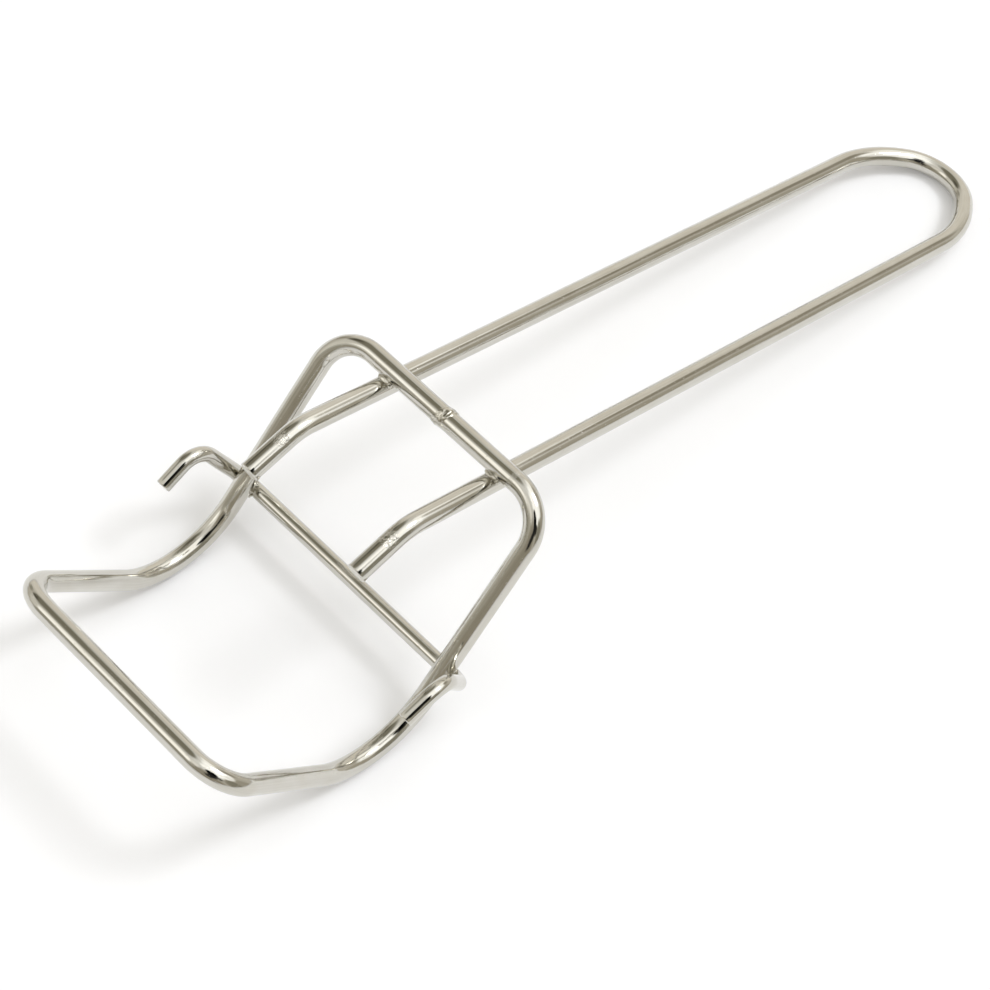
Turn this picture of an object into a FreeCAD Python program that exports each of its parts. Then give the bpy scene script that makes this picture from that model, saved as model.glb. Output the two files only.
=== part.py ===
import FreeCAD, Part
import math
import os

# Resistance-welded wire holder: a hairpin handle, a cradle loop welded across
# its two legs, and a thinner hooked cross wire welded behind the loop.
# The shapes are laid out in the handle frame: X across, Y back along the
# handle, Z square to the handle plane, origin in the middle of the loop's rear
# bar. Every sub-part is then placed by one tilt and shift: the holder stands on
# its two cradle bends and the handle's far end, and the origin is on the table
# (Z = 0) under the middle of its length.

doc = FreeCAD.newDocument("WireHolder")
sheet = doc.addObject("Spreadsheet::Sheet", "Sizes")

# Millimetres and degrees.
SIZES = [
    ("wire_dia", 4.0),          # handle and cradle wire
    ("hook_wire_dia", 3.0),     # cross wire
    ("weld_sink", 0.4),         # how far two crossing wires are pressed together
    ("leg_spacing", 28.0),      # between the handle's leg axes
    ("handle_length", 132.4),   # rear bar to the start of the handle's end bend
    ("end_bend_angle", 38.2),   # turn of each shoulder of the end bend
    ("end_bend_radius", 23.3),  # shoulder radius
    ("end_nose_radius", 10.6),  # radius at the tip of the end bend
    ("leg_bend_reach", 21.9),   # rear bar to the corner of the leg's down bend
    ("leg_bend_angle", 29.5),
    ("leg_bend_radius", 10.0),
    ("leg_tip_length", 11.9),   # corner of the down bend to the cut tip
    ("loop_width", 54.0),       # between the cradle side axes
    ("rear_corner_radius", 8.3),
    ("front_corner_radius", 7.6),
    ("side_angle", 63.2),       # sides drop this steeply below the handle plane
    ("side_length", 58.8),      # rear bar to the corner of the cradle bend
    ("cradle_radius", 17.3),
    ("front_angle", 29.3),      # front runs rise this steeply
    ("front_length", 49.4),     # corner of the cradle bend to the front bar
    ("hook_wire_drop", 36.5),   # down the sides from rear bar to cross wire
    ("hook_stub", 3.0),         # cross wire past the side axis
    ("hook_arm_out", 3.0),
    ("hook_arm_forward", 10.5),
    ("hook_arm_up", 10.1),
    ("hook_tip_in", 0.4),
    ("hook_tip_forward", 7.6),
    ("hook_tip_down", 5.8),
    ("hook_root_radius", 4.0),
    ("hook_elbow_radius", 5.0),
    ("weld_spread", 2.3),       # half width of a crossing weld's squeezed metal
    ("weld_height", 1.0),       # half height of the same
    ("butt_weld_width", 2.2),   # the ridge where the loop's two ends are joined
    ("butt_weld_rise", 0.25),   # ridge height above the wire surface
]
for row, (alias, value) in enumerate(SIZES, 1):
    sheet.set("A%d" % row, alias)
    sheet.set("B%d" % row, str(value))
    sheet.setAlias("B%d" % row, alias)
doc.recompute()


def size(alias):
    return float(sheet.get(alias))


V = FreeCAD.Vector
wire_dia = size("wire_dia")
hook_wire_dia = size("hook_wire_dia")
sink = size("weld_sink")
half_leg = size("leg_spacing") / 2
half_loop = size("loop_width") / 2
leg_z = -(wire_dia - sink)      # the legs pass under the rear bar

side_a = math.radians(size("side_angle"))
front_a = math.radians(size("front_angle"))
down_side = V(0, -math.cos(side_a), -math.sin(side_a))
off_side = V(0, -math.sin(side_a), math.cos(side_a))
up_front = V(0, -math.cos(front_a), math.sin(front_a))


def bent_path(corners, radii, closed=False):
    """Straight runs through the corner points, each corner rounded to its radius."""
    count = len(corners)
    ends = []
    for i, corner in enumerate(corners):
        if not closed and i in (0, count - 1):
            ends.append((corner, None, corner))
            continue
        back = (corners[i - 1] - corner).normalize()
        ahead = (corners[(i + 1) % count] - corner).normalize()
        half = back.getAngle(ahead) / 2
        tangent = radii[i] / math.tan(half)
        middle = (back + ahead).normalize()
        crown = corner + middle * (radii[i] / math.sin(half) - radii[i])
        ends.append((corner + back * tangent, crown, corner + ahead * tangent))
    edges = []
    for i in range(count):
        start, crown, stop = ends[i]
        if crown is not None:
            edges.append(Part.Arc(start, crown, stop).toShape())
        if closed or i < count - 1:
            following = ends[(i + 1) % count][0]
            run = corners[(i + 1) % count] - corners[i]
            if (following - stop).dot(run) < 0:
                raise ValueError("the bends at corners %d and %d overlap" % (i, i + 1))
            if stop.distanceToPoint(following) > 1e-6:
                edges.append(Part.makeLine(stop, following))
    return Part.Wire(edges)


def mirrored(points):
    """The same points across the middle plane, in reverse order."""
    return [V(-p.x, p.y, p.z) for p in reversed(points)]


# --- rest position -----------------------------------------------------------
# The table touches the cradle bends (a circle seen from the side) and the
# handle's end (a wire section seen from the side).
knee = down_side * size("side_length")
turn = side_a + front_a
bend_start = knee - down_side * (size("cradle_radius") * math.tan(turn / 2))
bend_centre = bend_start + off_side * size("cradle_radius")

shoulder = math.radians(size("end_bend_angle"))
shoulder_run = size("end_bend_radius") * math.tan(shoulder / 2)
nose_y = size("handle_length") + shoulder_run + half_leg / math.tan(shoulder)
nose_turn = math.pi / 2 - shoulder
nose_gap = size("end_nose_radius") / math.cos(nose_turn) - size("end_nose_radius")
far_end = V(0, nose_y - nose_gap, leg_z)

span = far_end - bend_centre
drop = size("cradle_radius")    # both circles carry half a wire more
tilt = math.atan2(span.z, span.y) + math.asin(drop / math.hypot(span.y, span.z))
turned = FreeCAD.Rotation(V(1, 0, 0), -math.degrees(tilt))
floor = turned.multVec(bend_centre).z - drop - wire_dia / 2
rear_reach = turned.multVec(far_end).y + wire_dia / 2
front_reach = turned.multVec(knee + up_front * size("front_length")).y - wire_dia / 2
middle = (rear_reach + front_reach) / 2
rest = FreeCAD.Placement(V(0, -middle, -floor), turned)


# --- bent wires --------------------------------------------------------------
def wire_sweep(name, path, diameter_alias):
    """A round wire swept along a path; its section is bound to the sheet."""
    spine = doc.addObject("Part::Feature", name + "_path")
    spine.Shape = path
    first = path.OrderedEdges[0]
    start = first.valueAt(first.FirstParameter)
    tangent = first.tangentAt(first.FirstParameter)
    if path.OrderedVertexes[0].Point.distanceToPoint(start) > 1e-6:
        start = first.valueAt(first.LastParameter)
        tangent = first.tangentAt(first.LastParameter).negative()
    section = doc.addObject("Part::Circle", name + "_section")
    section.setExpression("Radius", "Sizes.%s / 2" % diameter_alias)
    section.Placement = FreeCAD.Placement(start, FreeCAD.Rotation(V(0, 0, 1), tangent))
    doc.recompute()
    sweep = doc.addObject("Part::Sweep", name)
    sweep.Sections = [section]
    sweep.Spine = (spine, ["Edge%d" % (i + 1) for i in range(len(path.Edges))])
    sweep.Solid = True
    sweep.Frenet = False
    sweep.Transition = "Transformed"
    sweep.Placement = rest
    doc.recompute()
    return sweep


leg_a = math.radians(size("leg_bend_angle"))
leg_corner = V(half_leg, -size("leg_bend_reach"), leg_z)
leg_tip = leg_corner + V(0, -math.cos(leg_a), -math.sin(leg_a)) * size("leg_tip_length")
leg_points = [leg_tip, leg_corner, V(half_leg, size("handle_length") + shoulder_run, leg_z)]
handle_points = leg_points + [V(0, nose_y, leg_z)] + mirrored(leg_points)
leg_radii = [None, size("leg_bend_radius"), size("end_bend_radius")]
handle_radii = leg_radii + [size("end_nose_radius")] + leg_radii[::-1]
handle_sweep = wire_sweep("handle_sweep", bent_path(handle_points, handle_radii), "wire_dia")

loop_side = [V(half_loop, 0, 0), V(half_loop, 0, 0) + knee,
             V(half_loop, 0, 0) + knee + up_front * size("front_length")]
loop_radii = [size("rear_corner_radius"), size("cradle_radius"), size("front_corner_radius")]
loop_points = loop_side + mirrored(loop_side)
loop_path = bent_path(loop_points, loop_radii + loop_radii[::-1], closed=True)
cradle_loop = wire_sweep("cradle_loop", loop_path, "wire_dia")

# The cross wire lies behind the sides, pressed into them at the weld.
behind = (wire_dia + hook_wire_dia) / 2 - sink
cross = down_side * size("hook_wire_drop") - off_side * behind
hook_root = V(half_loop + size("hook_stub"), cross.y, cross.z)
elbow = hook_root + V(size("hook_arm_out"), -size("hook_arm_forward"), size("hook_arm_up"))
hook_tip = elbow - V(size("hook_tip_in"), size("hook_tip_forward"), size("hook_tip_down"))
hook_points = [hook_tip, elbow, hook_root]
hook_radii = [None, size("hook_elbow_radius"), size("hook_root_radius")]
hook_path = bent_path(hook_points + mirrored(hook_points), hook_radii + hook_radii[::-1])
hook_sweep = wire_sweep("hook_sweep", hook_path, "hook_wire_dia")


def cut(name, base, tool):
    part = doc.addObject("Part::Cut", name)
    part.Base = base
    part.Tool = tool
    doc.recompute()
    return part


# The legs and the cross wire carry the shallow seats of the loop wire.
handle_wire = cut("handle_wire", handle_sweep, cradle_loop)
hook_wire = cut("hook_wire", hook_sweep, cradle_loop)


# --- weld metal --------------------------------------------------------------
def crossing_weld(name, centre, normal, wires):
    """Squeezed metal filling the corners where two wires cross."""
    bead = doc.addObject("Part::Ellipsoid", name + "_metal")
    bead.setExpression("Radius1", "Sizes.weld_height")
    bead.setExpression("Radius2", "Sizes.weld_spread")
    bead.setExpression("Radius3", "Sizes.weld_spread")
    bead.Angle1, bead.Angle2, bead.Angle3 = -90, 90, 360
    local = FreeCAD.Placement(centre, FreeCAD.Rotation(V(0, 0, 1), normal))
    bead.Placement = rest.multiply(local)
    doc.recompute()
    shaped = cut(name + "_trim", bead, wires[0])
    return cut(name, shaped, wires[1])


subparts = [handle_wire, cradle_loop, hook_wire]
for side, x_sign in (("left", -1), ("right", 1)):
    bar_point = V(x_sign * half_leg, 0, leg_z / 2)
    subparts.append(crossing_weld("bar_weld_" + side, bar_point, V(0, 0, 1),
                                  (handle_wire, cradle_loop)))
    side_point = down_side * size("hook_wire_drop") - off_side * (wire_dia - sink) / 2
    side_point.x = x_sign * half_loop
    subparts.append(crossing_weld("hook_weld_" + side, side_point, off_side,
                                  (hook_wire, cradle_loop)))

# The loop is closed in the middle of its rear bar; the upset ridge is a low
# rounded collar around the bar.
collar = doc.addObject("Part::Ellipsoid", "butt_weld_metal")
collar.setExpression("Radius1", "Sizes.butt_weld_width / 2")
collar.setExpression("Radius2", "Sizes.wire_dia / 2 + Sizes.butt_weld_rise")
collar.setExpression("Radius3", "Sizes.wire_dia / 2 + Sizes.butt_weld_rise")
collar.Angle1, collar.Angle2, collar.Angle3 = -90, 90, 360
across = FreeCAD.Placement(V(0, 0, 0), FreeCAD.Rotation(V(0, 0, 1), V(1, 0, 0)))
collar.Placement = rest.multiply(across)
doc.recompute()
subparts.append(cut("butt_weld", collar, cradle_loop))

# --- check and write ---------------------------------------------------------
doc.recompute()
for obj in doc.Objects:
    if "Invalid" in obj.State or "Error" in obj.State:
        raise RuntimeError("%s did not recompute" % obj.Name)

os.makedirs("parts", exist_ok=True)
whole = FreeCAD.BoundBox()
for obj in subparts:
    obj.Label = obj.Name
    shape = obj.Shape
    if shape.isNull() or not shape.isValid() or len(shape.Solids) != 1:
        raise RuntimeError("%s is not one valid solid" % obj.Name)
    whole.add(shape.optimalBoundingBox())
    shape.exportStep("parts/%s.step" % obj.Label)
    print("%-18s %9.2f mm3" % (obj.Label, shape.Volume))
print("whole part: %.2f x %.2f x %.2f mm, floor %.3f" %
      (whole.XLength, whole.YLength, whole.ZLength, whole.ZMin))
print("tilt %.3f deg, from y %.3f to %.3f" % (math.degrees(tilt), whole.YMin, whole.YMax))
for label, point in (("rear bar", V(0, 0, 0)), ("leg corner", leg_corner), ("leg tip", leg_tip),
                     ("cradle bend", bend_centre), ("front bar", loop_side[2]),
                     ("hook root", hook_root), ("hook elbow", elbow), ("hook tip", hook_tip)):
    print("%-12s %8.3f %8.3f %8.3f" % ((label,) + tuple(rest.multVec(point))))
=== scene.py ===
import math

import bmesh
import bpy
from mathutils import Matrix, Vector, noise


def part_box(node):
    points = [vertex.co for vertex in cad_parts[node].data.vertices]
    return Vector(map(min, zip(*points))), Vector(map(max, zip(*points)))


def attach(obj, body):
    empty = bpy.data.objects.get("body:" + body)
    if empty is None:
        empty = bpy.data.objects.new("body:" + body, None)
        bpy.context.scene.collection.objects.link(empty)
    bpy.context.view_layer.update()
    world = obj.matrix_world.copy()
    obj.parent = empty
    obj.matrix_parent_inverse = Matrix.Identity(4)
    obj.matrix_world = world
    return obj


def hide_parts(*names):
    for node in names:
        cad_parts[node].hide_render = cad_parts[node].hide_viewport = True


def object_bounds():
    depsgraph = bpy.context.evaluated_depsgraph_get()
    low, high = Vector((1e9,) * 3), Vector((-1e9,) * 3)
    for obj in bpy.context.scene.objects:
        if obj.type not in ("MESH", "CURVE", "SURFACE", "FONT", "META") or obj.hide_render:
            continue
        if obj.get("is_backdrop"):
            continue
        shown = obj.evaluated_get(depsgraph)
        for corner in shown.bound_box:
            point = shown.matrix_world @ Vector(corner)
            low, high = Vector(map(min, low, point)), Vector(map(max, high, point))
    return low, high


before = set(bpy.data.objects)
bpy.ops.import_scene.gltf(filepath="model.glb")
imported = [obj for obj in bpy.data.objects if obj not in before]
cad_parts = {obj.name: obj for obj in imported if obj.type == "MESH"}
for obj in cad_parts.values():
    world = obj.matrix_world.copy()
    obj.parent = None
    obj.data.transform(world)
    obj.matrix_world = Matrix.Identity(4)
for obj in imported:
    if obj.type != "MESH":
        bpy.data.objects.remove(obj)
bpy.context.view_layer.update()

MM = 0.001

# --- sizes, in millimetres and degrees, as in the CAD source -------------------
WIRE_DIA = 4.0
HOOK_WIRE_DIA = 3.0
WELD_SINK = 0.4
LEG_SPACING = 28.0
HANDLE_LENGTH = 132.4
END_BEND_ANGLE = 38.2
END_BEND_RADIUS = 23.3
END_NOSE_RADIUS = 10.6
LEG_BEND_REACH = 21.9
LEG_BEND_ANGLE = 29.5
LEG_BEND_RADIUS = 10.0
LEG_TIP_LENGTH = 11.9
LOOP_WIDTH = 54.0
REAR_CORNER_RADIUS = 8.3
FRONT_CORNER_RADIUS = 7.6
SIDE_ANGLE = 63.2
SIDE_LENGTH = 58.8
CRADLE_RADIUS = 17.3
FRONT_ANGLE = 29.3
FRONT_LENGTH = 49.4
HOOK_WIRE_DROP = 36.5
HOOK_STUB = 3.0
HOOK_ARM = Vector((3.0, -10.5, 10.1))
HOOK_TIP = Vector((-0.4, -7.6, -5.8))
HOOK_ROOT_RADIUS = 4.0
HOOK_ELBOW_RADIUS = 5.0
TILT = 12.963               # the handle frame leans forward by this much at rest

# The handle frame's origin is the middle of the loop's rear bar.
low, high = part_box("butt_weld")
REAR_BAR = (low + high) / 2
TURN = Matrix.Rotation(math.radians(-TILT), 3, "X")


def rest(point):
    """A point of the handle frame, in mm, as a place in the row frame, in metres."""
    return REAR_BAR + TURN @ (Vector(point) * MM)


def mirrored(points):
    """The same points across the middle plane, in reverse order."""
    return [Vector((-p.x, p.y, p.z)) for p in reversed(points)]


# --- camera ---------------------------------------------------------------------
CAMERA_LENS = 106.3            # in mm, on a sensor 36 mm wide
CAMERA_PLACE = Vector((214.25, -273.73, 445.96)) * MM
CAMERA_RIGHT = Vector((0.68429, 0.72437, 0.08391))
CAMERA_DOWN = Vector((0.61838, -0.51544, -0.59323))


def make_camera():
    data = bpy.data.cameras.new("camera")
    data.sensor_width = 36.0
    data.lens = CAMERA_LENS
    data.clip_start = 0.01
    data.clip_end = 100.0
    camera = bpy.data.objects.new("camera", data)
    bpy.context.scene.collection.objects.link(camera)
    right = CAMERA_RIGHT.normalized()
    down = (CAMERA_DOWN - right * CAMERA_DOWN.dot(right)).normalized()
    ahead = right.cross(down)
    turn = Matrix((right, -down, -ahead)).transposed()
    camera.matrix_world = Matrix.Translation(CAMERA_PLACE) @ turn.to_4x4()
    bpy.context.scene.camera = camera


make_camera()


# --- materials --------------------------------------------------------------------
class Nodes:
    """A small helper that adds nodes to one node tree and links them."""

    def __init__(self, tree):
        self.tree = tree
        tree.nodes.clear()

    def add(self, kind, inputs=None, **settings):
        node = self.tree.nodes.new(kind)
        for key, value in settings.items():
            setattr(node, key, value)
        for key, value in (inputs or {}).items():
            if isinstance(value, bpy.types.NodeSocket):
                self.tree.links.new(value, node.inputs[key])
            else:
                node.inputs[key].default_value = value
        return node

    def ramp(self, factor, stops):
        node = self.add("ShaderNodeValToRGB", {"Fac": factor})
        elements = node.color_ramp.elements
        while len(elements) < len(stops):
            elements.new(0.5)
        for element, (place, colour) in zip(elements, stops):
            element.position = place
            element.color = (*colour, 1.0)
        return node.outputs["Color"]

    def stretch(self, value, span, result):
        """The value's span laid linearly onto the result's."""
        node = self.add("ShaderNodeMapRange", {"Value": value,
                                               "From Min": span[0], "From Max": span[1],
                                               "To Min": result[0], "To Max": result[1]})
        return node.outputs["Result"]

    def multiply_add(self, value, factor, addend):
        node = self.add("ShaderNodeMath", {0: value, 1: factor, 2: addend},
                        operation="MULTIPLY_ADD")
        return node.outputs["Value"]

    def metal(self, colour, rough, height, strength, depth):
        """A metal surface with a bump of the given strength and depth in metres."""
        bump = self.add("ShaderNodeBump", {"Strength": strength, "Distance": depth,
                                           "Height": height})
        shader = self.add("ShaderNodeBsdfPrincipled",
                          {"Base Color": colour, "Metallic": 1.0, "Roughness": rough,
                           "Normal": bump.outputs["Normal"]})
        self.add("ShaderNodeOutputMaterial", {"Surface": shader.outputs["BSDF"]})


def grey(value):
    return (value, value, value)


def new_material(name):
    material = bpy.data.materials.new(name)
    material.use_nodes = True
    return material, Nodes(material.node_tree)


# The tool marks on both leg bends, in metres, with x and y folded to their plus sides.
SCUFF_PLACE = (0.0140, 0.0627, 0.0415)
SCUFF_FADE = (0.0020, 0.0009)  # none beyond the first distance, full within the second
SCUFF_DEPTH = -4.5
NICK_DEPTH = -0.7
WIRE_BUMP = (0.35, 0.00004)    # strength, and depth in metres
CUT_FACE_BUMP = (0.5, 0.00006)
WELD_BUMP = (0.45, 0.00008)


def plated_wire_material():
    """Bright nickel over drawn wire: lengthwise drawing lines, clouding, nicks and scuffs.

    The mesh attribute "straight" holds each point's place on the wire as if it had
    never been bent, in mm: two numbers across the section and the third along it.
    """
    material, n = new_material("plated_wire")
    place = n.add("ShaderNodeAttribute", attribute_name="straight").outputs["Vector"]

    def noise_at(scale, detail, rough=0.5):
        stretched = n.add("ShaderNodeMapping", {"Vector": place, "Scale": scale})
        texture = n.add("ShaderNodeTexNoise",
                        {"Vector": stretched.outputs["Vector"], "Scale": 1.0,
                         "Detail": detail, "Roughness": rough})
        return texture.outputs["Fac"]

    lines = noise_at((5.0, 5.0, 0.05), 3.0)
    broad = noise_at((1.1, 1.1, 0.03), 2.0)
    clouds = noise_at((0.35, 0.35, 0.16), 3.0)
    grain = noise_at((9.0, 9.0, 9.0), 2.0)
    nicks = noise_at((4.0, 4.0, 2.2), 1.0, rough=0.3)

    colour = n.ramp(clouds, [(0.35, (0.59, 0.572, 0.517)), (0.68, (0.635, 0.621, 0.575))])
    tint = n.ramp(lines, [(0.35, grey(0.93)), (0.6, grey(1.0))])
    base = n.add("ShaderNodeMix", {0: 1.0, 6: colour, 7: tint}, data_type="RGBA",
                 blend_type="MULTIPLY").outputs[2]
    rough = n.stretch(lines, (0.3, 0.7), (0.035, 0.085))
    rough = n.multiply_add(clouds, 0.08, rough)
    rough = n.add("ShaderNodeMath", {0: rough, 1: 0.03}, operation="SUBTRACT").outputs["Value"]

    height = n.multiply_add(broad, 2.4, lines)
    height = n.multiply_add(grain, 0.15, height)
    pit = n.stretch(nicks, (0.72, 0.78), (0.0, 1.0))
    height = n.multiply_add(pit, NICK_DEPTH, height)
    fold = n.add("ShaderNodeVectorMath", {0: n.add("ShaderNodeTexCoord").outputs["Object"]},
                 operation="ABSOLUTE").outputs["Vector"]
    away = n.add("ShaderNodeVectorMath", {0: fold, 1: SCUFF_PLACE},
                 operation="DISTANCE").outputs["Value"]
    near = n.stretch(away, SCUFF_FADE, (0.0, 1.0))
    scuff = n.stretch(noise_at((1.8, 1.8, 2.6), 2.0), (0.47, 0.56), (0.0, SCUFF_DEPTH))
    height = n.multiply_add(near, scuff, height)
    n.metal(base, rough, height, *WIRE_BUMP)
    return material


def cut_face_material():
    """The sheared wire ends, plated over: duller, with parallel shear marks."""
    material, n = new_material("cut_face")
    place = n.add("ShaderNodeAttribute", attribute_name="straight").outputs["Vector"]
    stretched = n.add("ShaderNodeMapping", {"Vector": place, "Scale": (7.0, 1.0, 1.0)})
    marks = n.add("ShaderNodeTexNoise", {"Vector": stretched.outputs["Vector"], "Scale": 1.0,
                                         "Detail": 3.0}).outputs["Fac"]
    colour = n.ramp(marks, [(0.3, (0.60, 0.575, 0.51)), (0.7, (0.76, 0.74, 0.68))])
    n.metal(colour, 0.34, marks, *CUT_FACE_BUMP)
    return material


def weld_material():
    """Plated weld metal: lumpy, with dark specks in its hollows."""
    material, n = new_material("weld")
    place = n.add("ShaderNodeTexCoord").outputs["Object"]
    lumps = n.add("ShaderNodeTexNoise", {"Vector": place, "Scale": 900.0, "Detail": 4.0,
                                         "Roughness": 0.6}).outputs["Fac"]
    specks = n.add("ShaderNodeTexVoronoi", {"Vector": place, "Scale": 1500.0}).outputs["Distance"]
    colour = n.ramp(lumps, [(0.34, (0.36, 0.34, 0.29)), (0.5, (0.57, 0.55, 0.49)),
                            (0.66, (0.65, 0.635, 0.58))])
    rough = n.stretch(lumps, (0.3, 0.7), (0.26, 0.10))
    height = n.multiply_add(specks, 0.4, lumps)
    n.metal(colour, rough, height, *WELD_BUMP)
    return material


# The table's colour is darkened with distance from this middle: a painted pool of light, standing
# in for light falling off.
PAINTED_LIGHT_MIDDLE = (-0.12, 0.05, 0.0)
PAINTED_LIGHT_FADE = (0.262, 0.80)     # where the painted pool of light starts and stops darkening the table's colour, in metres
PAINTED_LIGHT_FAR = 0.60               # what is left of the table's colour out there, after the painted falloff of light
# The table glows a little with its own colour: painted light, though it is no lamp, which
# lightens the shadows on it.
FLOOR_GLOW = 0.10
TABLE_HALF_WIDTH = 12.0


def floor_material():
    """A plain white table with a painted pool of light: its colour darkens softly outside the
    camera's frame, and it glows a little.
    """
    material, n = new_material("table_white")
    place = n.add("ShaderNodeTexCoord").outputs["Object"]
    fine = n.add("ShaderNodeTexNoise", {"Vector": place, "Scale": 30.0,
                                        "Detail": 2.0}).outputs["Fac"]
    colour = n.ramp(fine, [(0.3, (0.915, 0.925, 0.96)), (0.7, (0.925, 0.935, 0.97))])
    # Painted pool of light: the colour darkens with distance from the middle.
    away = n.add("ShaderNodeVectorMath", {0: place, 1: PAINTED_LIGHT_MIDDLE},
                 operation="DISTANCE").outputs["Value"]
    light = n.add("ShaderNodeMapRange", {"Value": away, "From Min": PAINTED_LIGHT_FADE[0],
                                         "From Max": PAINTED_LIGHT_FADE[1], "To Min": 1.0,
                                         "To Max": PAINTED_LIGHT_FAR}, interpolation_type="SMOOTHSTEP")
    colour = n.add("ShaderNodeMix", {0: 1.0, 6: colour, 7: light.outputs["Result"]},
                   data_type="RGBA", blend_type="MULTIPLY").outputs[2]
    # The emission is painted light: the table glows though it is no lamp.
    shader = n.add("ShaderNodeBsdfPrincipled",
                   {"Base Color": colour, "Roughness": 0.7, "Specular IOR Level": 0.1,
                    "Emission Color": colour, "Emission Strength": FLOOR_GLOW})
    n.add("ShaderNodeOutputMaterial", {"Surface": shader.outputs["BSDF"]})
    return material


PLATED = plated_wire_material()
CUT_FACE = cut_face_material()
WELD = weld_material()


# --- light --------------------------------------------------------------------------
def direction(azimuth, elevation):
    """A unit vector: azimuth is measured from +Y towards +X."""
    a, e = math.radians(azimuth), math.radians(elevation)
    return Vector((math.sin(a) * math.cos(e), math.cos(a) * math.cos(e), math.sin(e)))


STUDIO_STRENGTH = 1.12
STUDIO_WALLS = (0.60, 0.57, 0.50, 1.0)

# Soft round patches of the room, each laid over those before it: name, azimuth,
# elevation, how far from its middle it is full and has faded, all in degrees, and its
# radiance.
STUDIO = [
    ("ceiling", 0, 90, 10, 55, (0.88, 0.87, 0.83)),
    ("wall_left", -34, 8, 20, 46, (0.84, 0.80, 0.72)),
    ("wall_front", 150, 10, 28, 46, (0.34, 0.31, 0.25)),
    ("wall_right", 80, 14, 12, 26, (0.29, 0.272, 0.22)),
    ("wall_back_right", 46, 12, 9, 22, (0.45, 0.42, 0.35)),
    ("wall_front_left", -158, 5, 10, 26, (0.38, 0.36, 0.30)),
    ("wall_far_left", -124, 32, 16, 28, (0.78, 0.76, 0.69)),
    ("ceiling_left", -88, 56, 16, 29, (0.24, 0.225, 0.175)),
    ("cupboard", -90, 38, 6, 14, (0.125, 0.115, 0.088)),
    ("cupboard_foot", -80, 14, 4, 13, (0.36, 0.34, 0.28)),
    ("window", 45, 56, 23, 32, (1.42, 1.42, 1.40)),
    ("window_sill", 51, 35, 5, 12, (1.20, 1.19, 1.16)),
    ("window_low", 89, 43, 4, 10, (1.30, 1.28, 1.25)),
    ("window_left", -2, 47, 8, 15, (1.30, 1.28, 1.22)),
    ("window_right", 92, 56, 11, 20, (1.45, 1.45, 1.43)),
    ("window_top", 104, 72, 10, 20, (1.42, 1.41, 1.37)),
    ("gap_back", 11, 30, 4, 14, (0.34, 0.31, 0.25)),
    ("strip_round", -177, 48, 7, 13, (0.98, 0.95, 0.88)),
    ("strip", -151, 36, 6, 15, (1.45, 1.42, 1.34)),
    ("key", 38, 56, 4, 11, (13.0, 13.0, 13.0)),
    ("camera", 120, 50, 13, 16, (0.0, 0.0, 0.0)),
    ("photographer", 128, 36, 8, 13, (0.02, 0.02, 0.02)),
    ("photographer_arm", 105, 34, 7, 10, (0.03, 0.028, 0.022)),
    ("photographer_body", 142, 27, 7, 13, (0.03, 0.028, 0.025)),
]


def make_light():
    world = bpy.data.worlds.new("studio")
    bpy.context.scene.world = world
    world.use_nodes = True
    n = Nodes(world.node_tree)
    looking = n.add("ShaderNodeTexCoord").outputs["Generated"]
    colour = STUDIO_WALLS
    for name, azimuth, elevation, full, faded, radiance in STUDIO:
        dot = n.add("ShaderNodeVectorMath", {0: looking, 1: direction(azimuth, elevation)},
                    operation="DOT_PRODUCT").outputs["Value"]
        amount = n.add("ShaderNodeMapRange",
                       {"Value": dot, "From Min": math.cos(math.radians(faded)),
                        "From Max": math.cos(math.radians(full)), "To Min": 0.0, "To Max": 1.0},
                       interpolation_type="SMOOTHSTEP").outputs["Result"]
        colour = n.add("ShaderNodeMix", {0: amount, 6: colour, 7: (*radiance, 1.0)},
                       data_type="RGBA", label=name).outputs[2]
    shader = n.add("ShaderNodeBackground", {"Color": colour, "Strength": STUDIO_STRENGTH})
    n.add("ShaderNodeOutputWorld", {"Surface": shader.outputs["Background"]})


def make_floor():
    mesh = bpy.data.meshes.new("table")
    bm = bmesh.new()
    bmesh.ops.create_grid(bm, x_segments=8, y_segments=8, size=TABLE_HALF_WIDTH)
    bm.to_mesh(mesh)
    bm.free()
    mesh.materials.append(floor_material())
    table = bpy.data.objects.new("table", mesh)
    bpy.context.scene.collection.objects.link(table)
    table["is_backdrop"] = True


make_light()
make_floor()
bpy.context.scene.view_settings.view_transform = "Standard"


# --- wires ----------------------------------------------------------------------------
RUN_STEP = 1.0                 # mm between points on a straight run
ARC_STEP = 4.0                 # degrees between points on a bend
SHORTEST_STEP = 0.02           # mm; two bends that meet share their point


def bent_path(corners, radii, closed=False):
    """Points along straight runs with each corner rounded to its radius, in mm."""
    count = len(corners)
    points = []
    for i, corner in enumerate(corners):
        if not closed and i in (0, count - 1):
            points.append(corner.copy())
            continue
        back = (corners[i - 1] - corner).normalized()
        ahead = (corners[(i + 1) % count] - corner).normalized()
        half = back.angle(ahead) / 2
        radius = radii[i]
        centre = corner + (back + ahead).normalized() * (radius / math.sin(half))
        start = corner + back * (radius / math.tan(half)) - centre
        sweep = math.pi - 2 * half
        axis = back.cross(ahead).normalized()
        steps = max(4, round(math.degrees(sweep) / ARC_STEP))
        for k in range(steps + 1):
            points.append(centre + Matrix.Rotation(-sweep * k / steps, 3, axis) @ start)
    if closed:
        points.append(points[0].copy())
    filled = [points[0]]
    for a, b in zip(points, points[1:]):
        if (b - a).length < SHORTEST_STEP:
            continue
        pieces = max(1, round((b - a).length / RUN_STEP))
        filled += [a.lerp(b, k / pieces) for k in range(1, pieces + 1)]
    if closed:
        filled.pop()
    return filled


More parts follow.
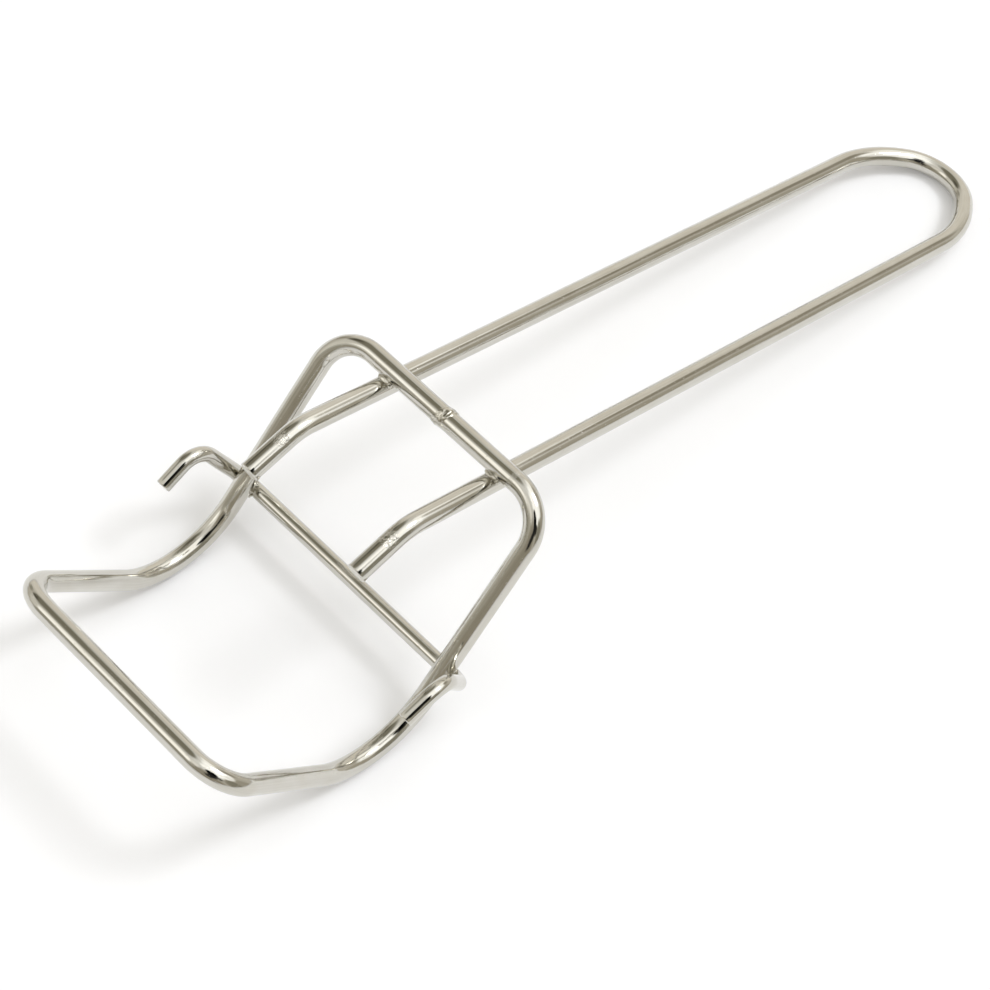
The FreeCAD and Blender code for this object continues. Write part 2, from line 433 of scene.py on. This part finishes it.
AROUND = 40                    # vertices round a wire
CUT_EDGE = 0.22                # mm; the rounded edge of a sheared end
CUT_EDGE_TURNS = (0.25, 0.5, 0.75, 1.0)
CUT_FACE_RINGS = (0.8, 0.55, 0.3)
CUT_CROWN = 0.05               # mm


class Tube:
    """A round wire as a mesh, with its unbent coordinates kept as an attribute."""

    def __init__(self, name, points, radius, closed, seed):
        self.name, self.radius, self.closed = name, radius, closed
        self.seed = Vector((seed * 17.3, seed * 5.1, seed * 9.7))
        self.bm = bmesh.new()
        self.straight = self.bm.verts.layers.float_vector.new("straight")
        self.points = points
        self.along = [0.0]
        for a, b in zip(points, points[1:]):
            self.along.append(self.along[-1] + (b - a).length)
        self.frames = self.carry_frames()

    def carry_frames(self):
        """A direction square to the wire at every point, carried along without twist."""
        count = len(self.points)
        tangents = []
        for i in range(count):
            if self.closed:
                step = self.points[(i + 1) % count] - self.points[i - 1]
            else:
                step = self.points[min(i + 1, count - 1)] - self.points[max(i - 1, 0)]
            tangents.append(step.normalized())
        side = tangents[0].orthogonal().normalized()
        frames = []
        for tangent in tangents:
            side = (side - tangent * side.dot(tangent)).normalized()
            frames.append((tangent, side.copy(), tangent.cross(side)))
        if self.closed:
            tangent, side, other = frames[0]
            last = frames[-1][1]
            twist = math.atan2(last.dot(other), last.dot(side))
            for i, (t, s, _) in enumerate(frames):
                s = Matrix.Rotation(-twist * i / (count - 1), 3, t) @ s
                frames[i] = (t, s, t.cross(s))
        return frames

    def ring(self, i, radius, shift=0.0):
        """One ring of vertices round point i, moved along the wire by shift."""
        tangent, side, other = self.frames[i]
        place = self.points[i] + tangent * shift
        verts = []
        for k in range(AROUND):
            angle = 2 * math.pi * k / AROUND
            out = side * math.cos(angle) + other * math.sin(angle)
            vert = self.bm.verts.new(rest(place + out * radius))
            vert[self.straight] = (math.cos(angle) * radius, math.sin(angle) * radius,
                                   self.along[i] + shift)
            verts.append(vert)
        return verts

    def skin(self, a, b, material=0):
        """Faces from one ring to the next."""
        for k in range(AROUND):
            j = (k + 1) % AROUND
            face = self.bm.faces.new((a[k], a[j], b[j], b[k]))
            face.smooth = True
            face.material_index = material

    def cap(self, i, sign):
        """A sheared end: a small rounded edge, then a slightly crowned rough face.

        The sign is -1 at the wire's start and 1 at its end. Returns the outermost ring.
        """
        edge = self.ring(i, self.radius, -sign * CUT_EDGE)
        rings = [edge]
        for turn in CUT_EDGE_TURNS:
            a = turn * math.pi / 2
            rings.append(self.ring(i, self.radius - CUT_EDGE * (1 - math.cos(a)),
                                   -sign * CUT_EDGE * (1 - math.sin(a))))
        for share in CUT_FACE_RINGS:
            inset = self.ring(i, (self.radius - CUT_EDGE) * share)
            for vert in inset:
                lump = noise.noise(Vector(vert[self.straight]) * 1.3 + self.seed)
                vert.co += TURN @ (self.frames[i][0] * (-sign * CUT_CROWN * MM * (1 + lump)))
            rings.append(inset)
        for k, (a, b) in enumerate(zip(rings, rings[1:])):
            material = 0 if k < len(CUT_EDGE_TURNS) else 1
            if sign > 0:
                self.skin(a, b, material)
            else:
                self.skin(b, a, material)
        face = self.bm.faces.new(rings[-1] if sign > 0 else rings[-1][::-1])
        face.material_index = 1
        face.smooth = True
        return edge

    def build(self, replaced):
        count = len(self.points)
        if self.closed:
            rings = [self.ring(i, self.radius) for i in range(count)]
            rings.append(rings[0])     # the last skin closes the loop onto the first ring
        else:
            first = self.cap(0, -1)
            inner = [self.ring(i, self.radius) for i in range(1, count - 1)]
            rings = [first, *inner, self.cap(count - 1, 1)]
        for a, b in zip(rings, rings[1:]):
            self.skin(a, b)
        self.bm.normal_update()
        mesh = bpy.data.meshes.new(self.name)
        self.bm.to_mesh(mesh)
        self.bm.free()
        mesh.materials.append(PLATED)
        mesh.materials.append(CUT_FACE)
        piece = bpy.data.objects.new(self.name, mesh)
        bpy.context.scene.collection.objects.link(piece)
        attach(piece, "root")
        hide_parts(replaced)


half_leg = LEG_SPACING / 2
half_loop = LOOP_WIDTH / 2
leg_z = -(WIRE_DIA - WELD_SINK)
leg_a, side_a, front_a = (math.radians(a) for a in (LEG_BEND_ANGLE, SIDE_ANGLE, FRONT_ANGLE))
down_side = Vector((0, -math.cos(side_a), -math.sin(side_a)))
off_side = Vector((0, -math.sin(side_a), math.cos(side_a)))
up_front = Vector((0, -math.cos(front_a), math.sin(front_a)))

leg_corner = Vector((half_leg, -LEG_BEND_REACH, leg_z))
leg_tip = leg_corner + Vector((0, -math.cos(leg_a), -math.sin(leg_a))) * LEG_TIP_LENGTH
shoulder = math.radians(END_BEND_ANGLE)
shoulder_y = HANDLE_LENGTH + END_BEND_RADIUS * math.tan(shoulder / 2)
nose = Vector((0, shoulder_y + half_leg / math.tan(shoulder), leg_z))
leg_points = [leg_tip, leg_corner, Vector((half_leg, shoulder_y, leg_z))]
leg_radii = [None, LEG_BEND_RADIUS, END_BEND_RADIUS]
handle_path = bent_path(leg_points + [nose] + mirrored(leg_points),
                        leg_radii + [END_NOSE_RADIUS] + leg_radii[::-1])

knee = Vector((half_loop, 0, 0)) + down_side * SIDE_LENGTH
loop_side = [Vector((half_loop, 0, 0)), knee, knee + up_front * FRONT_LENGTH]
loop_radii = [REAR_CORNER_RADIUS, CRADLE_RADIUS, FRONT_CORNER_RADIUS]
loop_path = bent_path(loop_side + mirrored(loop_side), loop_radii + loop_radii[::-1], closed=True)

behind = (WIRE_DIA + HOOK_WIRE_DIA) / 2 - WELD_SINK
hook_root = down_side * HOOK_WIRE_DROP - off_side * behind
hook_root.x = half_loop + HOOK_STUB
elbow = hook_root + HOOK_ARM
hook_points = [elbow + HOOK_TIP, elbow, hook_root]
hook_radii = [None, HOOK_ELBOW_RADIUS, HOOK_ROOT_RADIUS]
hook_path = bent_path(hook_points + mirrored(hook_points), hook_radii + hook_radii[::-1])

Tube("handle_wire_skin", handle_path, WIRE_DIA / 2, False, 1).build("handle_wire")
Tube("cradle_loop_skin", loop_path, WIRE_DIA / 2, True, 2).build("cradle_loop")
Tube("hook_wire_skin", hook_path, HOOK_WIRE_DIA / 2, False, 3).build("hook_wire")

# --- welds ------------------------------------------------------------------------------
BUTT_WELD_WIDTH = 2.6
BUTT_WELD_RISE = 0.25
BUTT_WELD_SLANT = 0.75
BUTT_WELD_SUNK = 0.03          # how far its edges lie under the wire's surface
BUTT_WELD_GRID = (56, 26)      # vertices round it, rows along it


def weld_piece(name, bm, replaced):
    bmesh.ops.recalc_face_normals(bm, faces=bm.faces)
    for face in bm.faces:
        face.smooth = True
    mesh = bpy.data.meshes.new(name)
    bm.to_mesh(mesh)
    bm.free()
    mesh.materials.append(WELD)
    piece = bpy.data.objects.new(name, mesh)
    bpy.context.scene.collection.objects.link(piece)
    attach(piece, "root")
    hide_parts(replaced)


def squeezed_weld(name, replaced, lumps, seed):
    """Weld metal squeezed out of a crossing: uneven lumps grown into one another.

    Each lump is its centre and radii in mm, and how uneven its surface is.
    """
    bm = bmesh.new()
    for centre, radii, unevenness in lumps:
        made = bmesh.ops.create_icosphere(bm, subdivisions=4, radius=1.0)
        for vert in made["verts"]:
            out = vert.co.copy()
            place = Vector((out.x * radii[0], out.y * radii[1], out.z * radii[2]))
            lump = noise.noise(place * 1.1 + Vector((seed * 7.7, seed * 3.1, seed * 5.3)))
            fine = noise.noise(place * 3.1 + Vector((seed * 2.3, seed * 8.9, seed * 1.7)))
            share = 1 + unevenness * (0.7 * lump + 0.35 * fine)
            vert.co = rest(Vector(centre) + place * share)
    weld_piece(name, bm, replaced)


def butt_weld():
    """A slanted, uneven band of metal right round the middle of the rear bar.

    Its two ends are closed inside the wire.
    """
    bm = bmesh.new()
    around, along = BUTT_WELD_GRID
    rows = []
    for i in range(along + 1):
        share = 2 * i / along - 1
        row = []
        for k in range(around):
            angle = 2 * math.pi * k / around
            slant = BUTT_WELD_SLANT * math.sin(angle + 0.6)
            x = share * BUTT_WELD_WIDTH * 0.5 + slant * (1 - 0.25 * abs(share))
            crown = max(0.0, 1 - abs(share) ** 3)
            y, z = math.cos(angle), math.sin(angle)
            lump = noise.noise(Vector((x * 1.6, y * 1.9, z * 1.9)) + Vector((3.7, 1.2, 8.4)))
            chip = noise.noise(Vector((x * 4.1, y * 4.4, z * 4.4)) + Vector((0.7, 6.2, 2.9)))
            rise = BUTT_WELD_RISE * crown * min(1.0, max(0.0, 0.52 + 0.75 * lump + 0.35 * chip))
            radius = WIRE_DIA / 2 - BUTT_WELD_SUNK * (1 - crown) + rise
            row.append(bm.verts.new(rest(Vector((x, y * radius, z * radius)))))
        rows.append(row)
    for a, b in zip(rows, rows[1:]):
        for k in range(around):
            j = (k + 1) % around
            bm.faces.new((a[k], a[j], b[j], b[k]))
    for row in (rows[0], rows[-1]):
        middle = bm.verts.new(sum((vert.co for vert in row), Vector()) / around)
        for k in range(around):
            bm.faces.new((row[k], row[(k + 1) % around], middle))
    weld_piece("butt_weld_skin", bm, "butt_weld")


for side, sign in (("left", -1), ("right", 1)):
    crossing = Vector((sign * half_leg, 0, leg_z / 2))
    squeezed_weld(f"bar_weld_{side}_skin", f"bar_weld_{side}", [
        (crossing, (2.15, 2.15, 0.95), 0.10),
        (crossing + Vector((1.65, -1.75, 0.15)), (0.50, 0.46, 0.60), 0.3),
        (crossing + Vector((-1.6, 1.7, 0.0)), (0.45, 0.50, 0.60), 0.3),
    ], 1.0 + sign * 0.4)
    touch = down_side * HOOK_WIRE_DROP - off_side * (WIRE_DIA / 2 - WELD_SINK / 2)
    touch.x = sign * half_loop
    squeezed_weld(f"hook_weld_{side}_skin", f"hook_weld_{side}", [
        (touch, (1.8, 1.95, 1.35), 0.12),
        (touch - down_side * 1.45 + Vector((1.36, 0, 0)), (0.45, 0.5, 0.5), 0.3),
        (touch + down_side * 1.3 + Vector((1.4, 0, 0)), (0.38, 0.42, 0.45), 0.3),
    ], 4.0 + sign * 0.7)
butt_weld()

# --- sizes: the bounds of what is shown -------------------------------------------------
low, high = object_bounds()
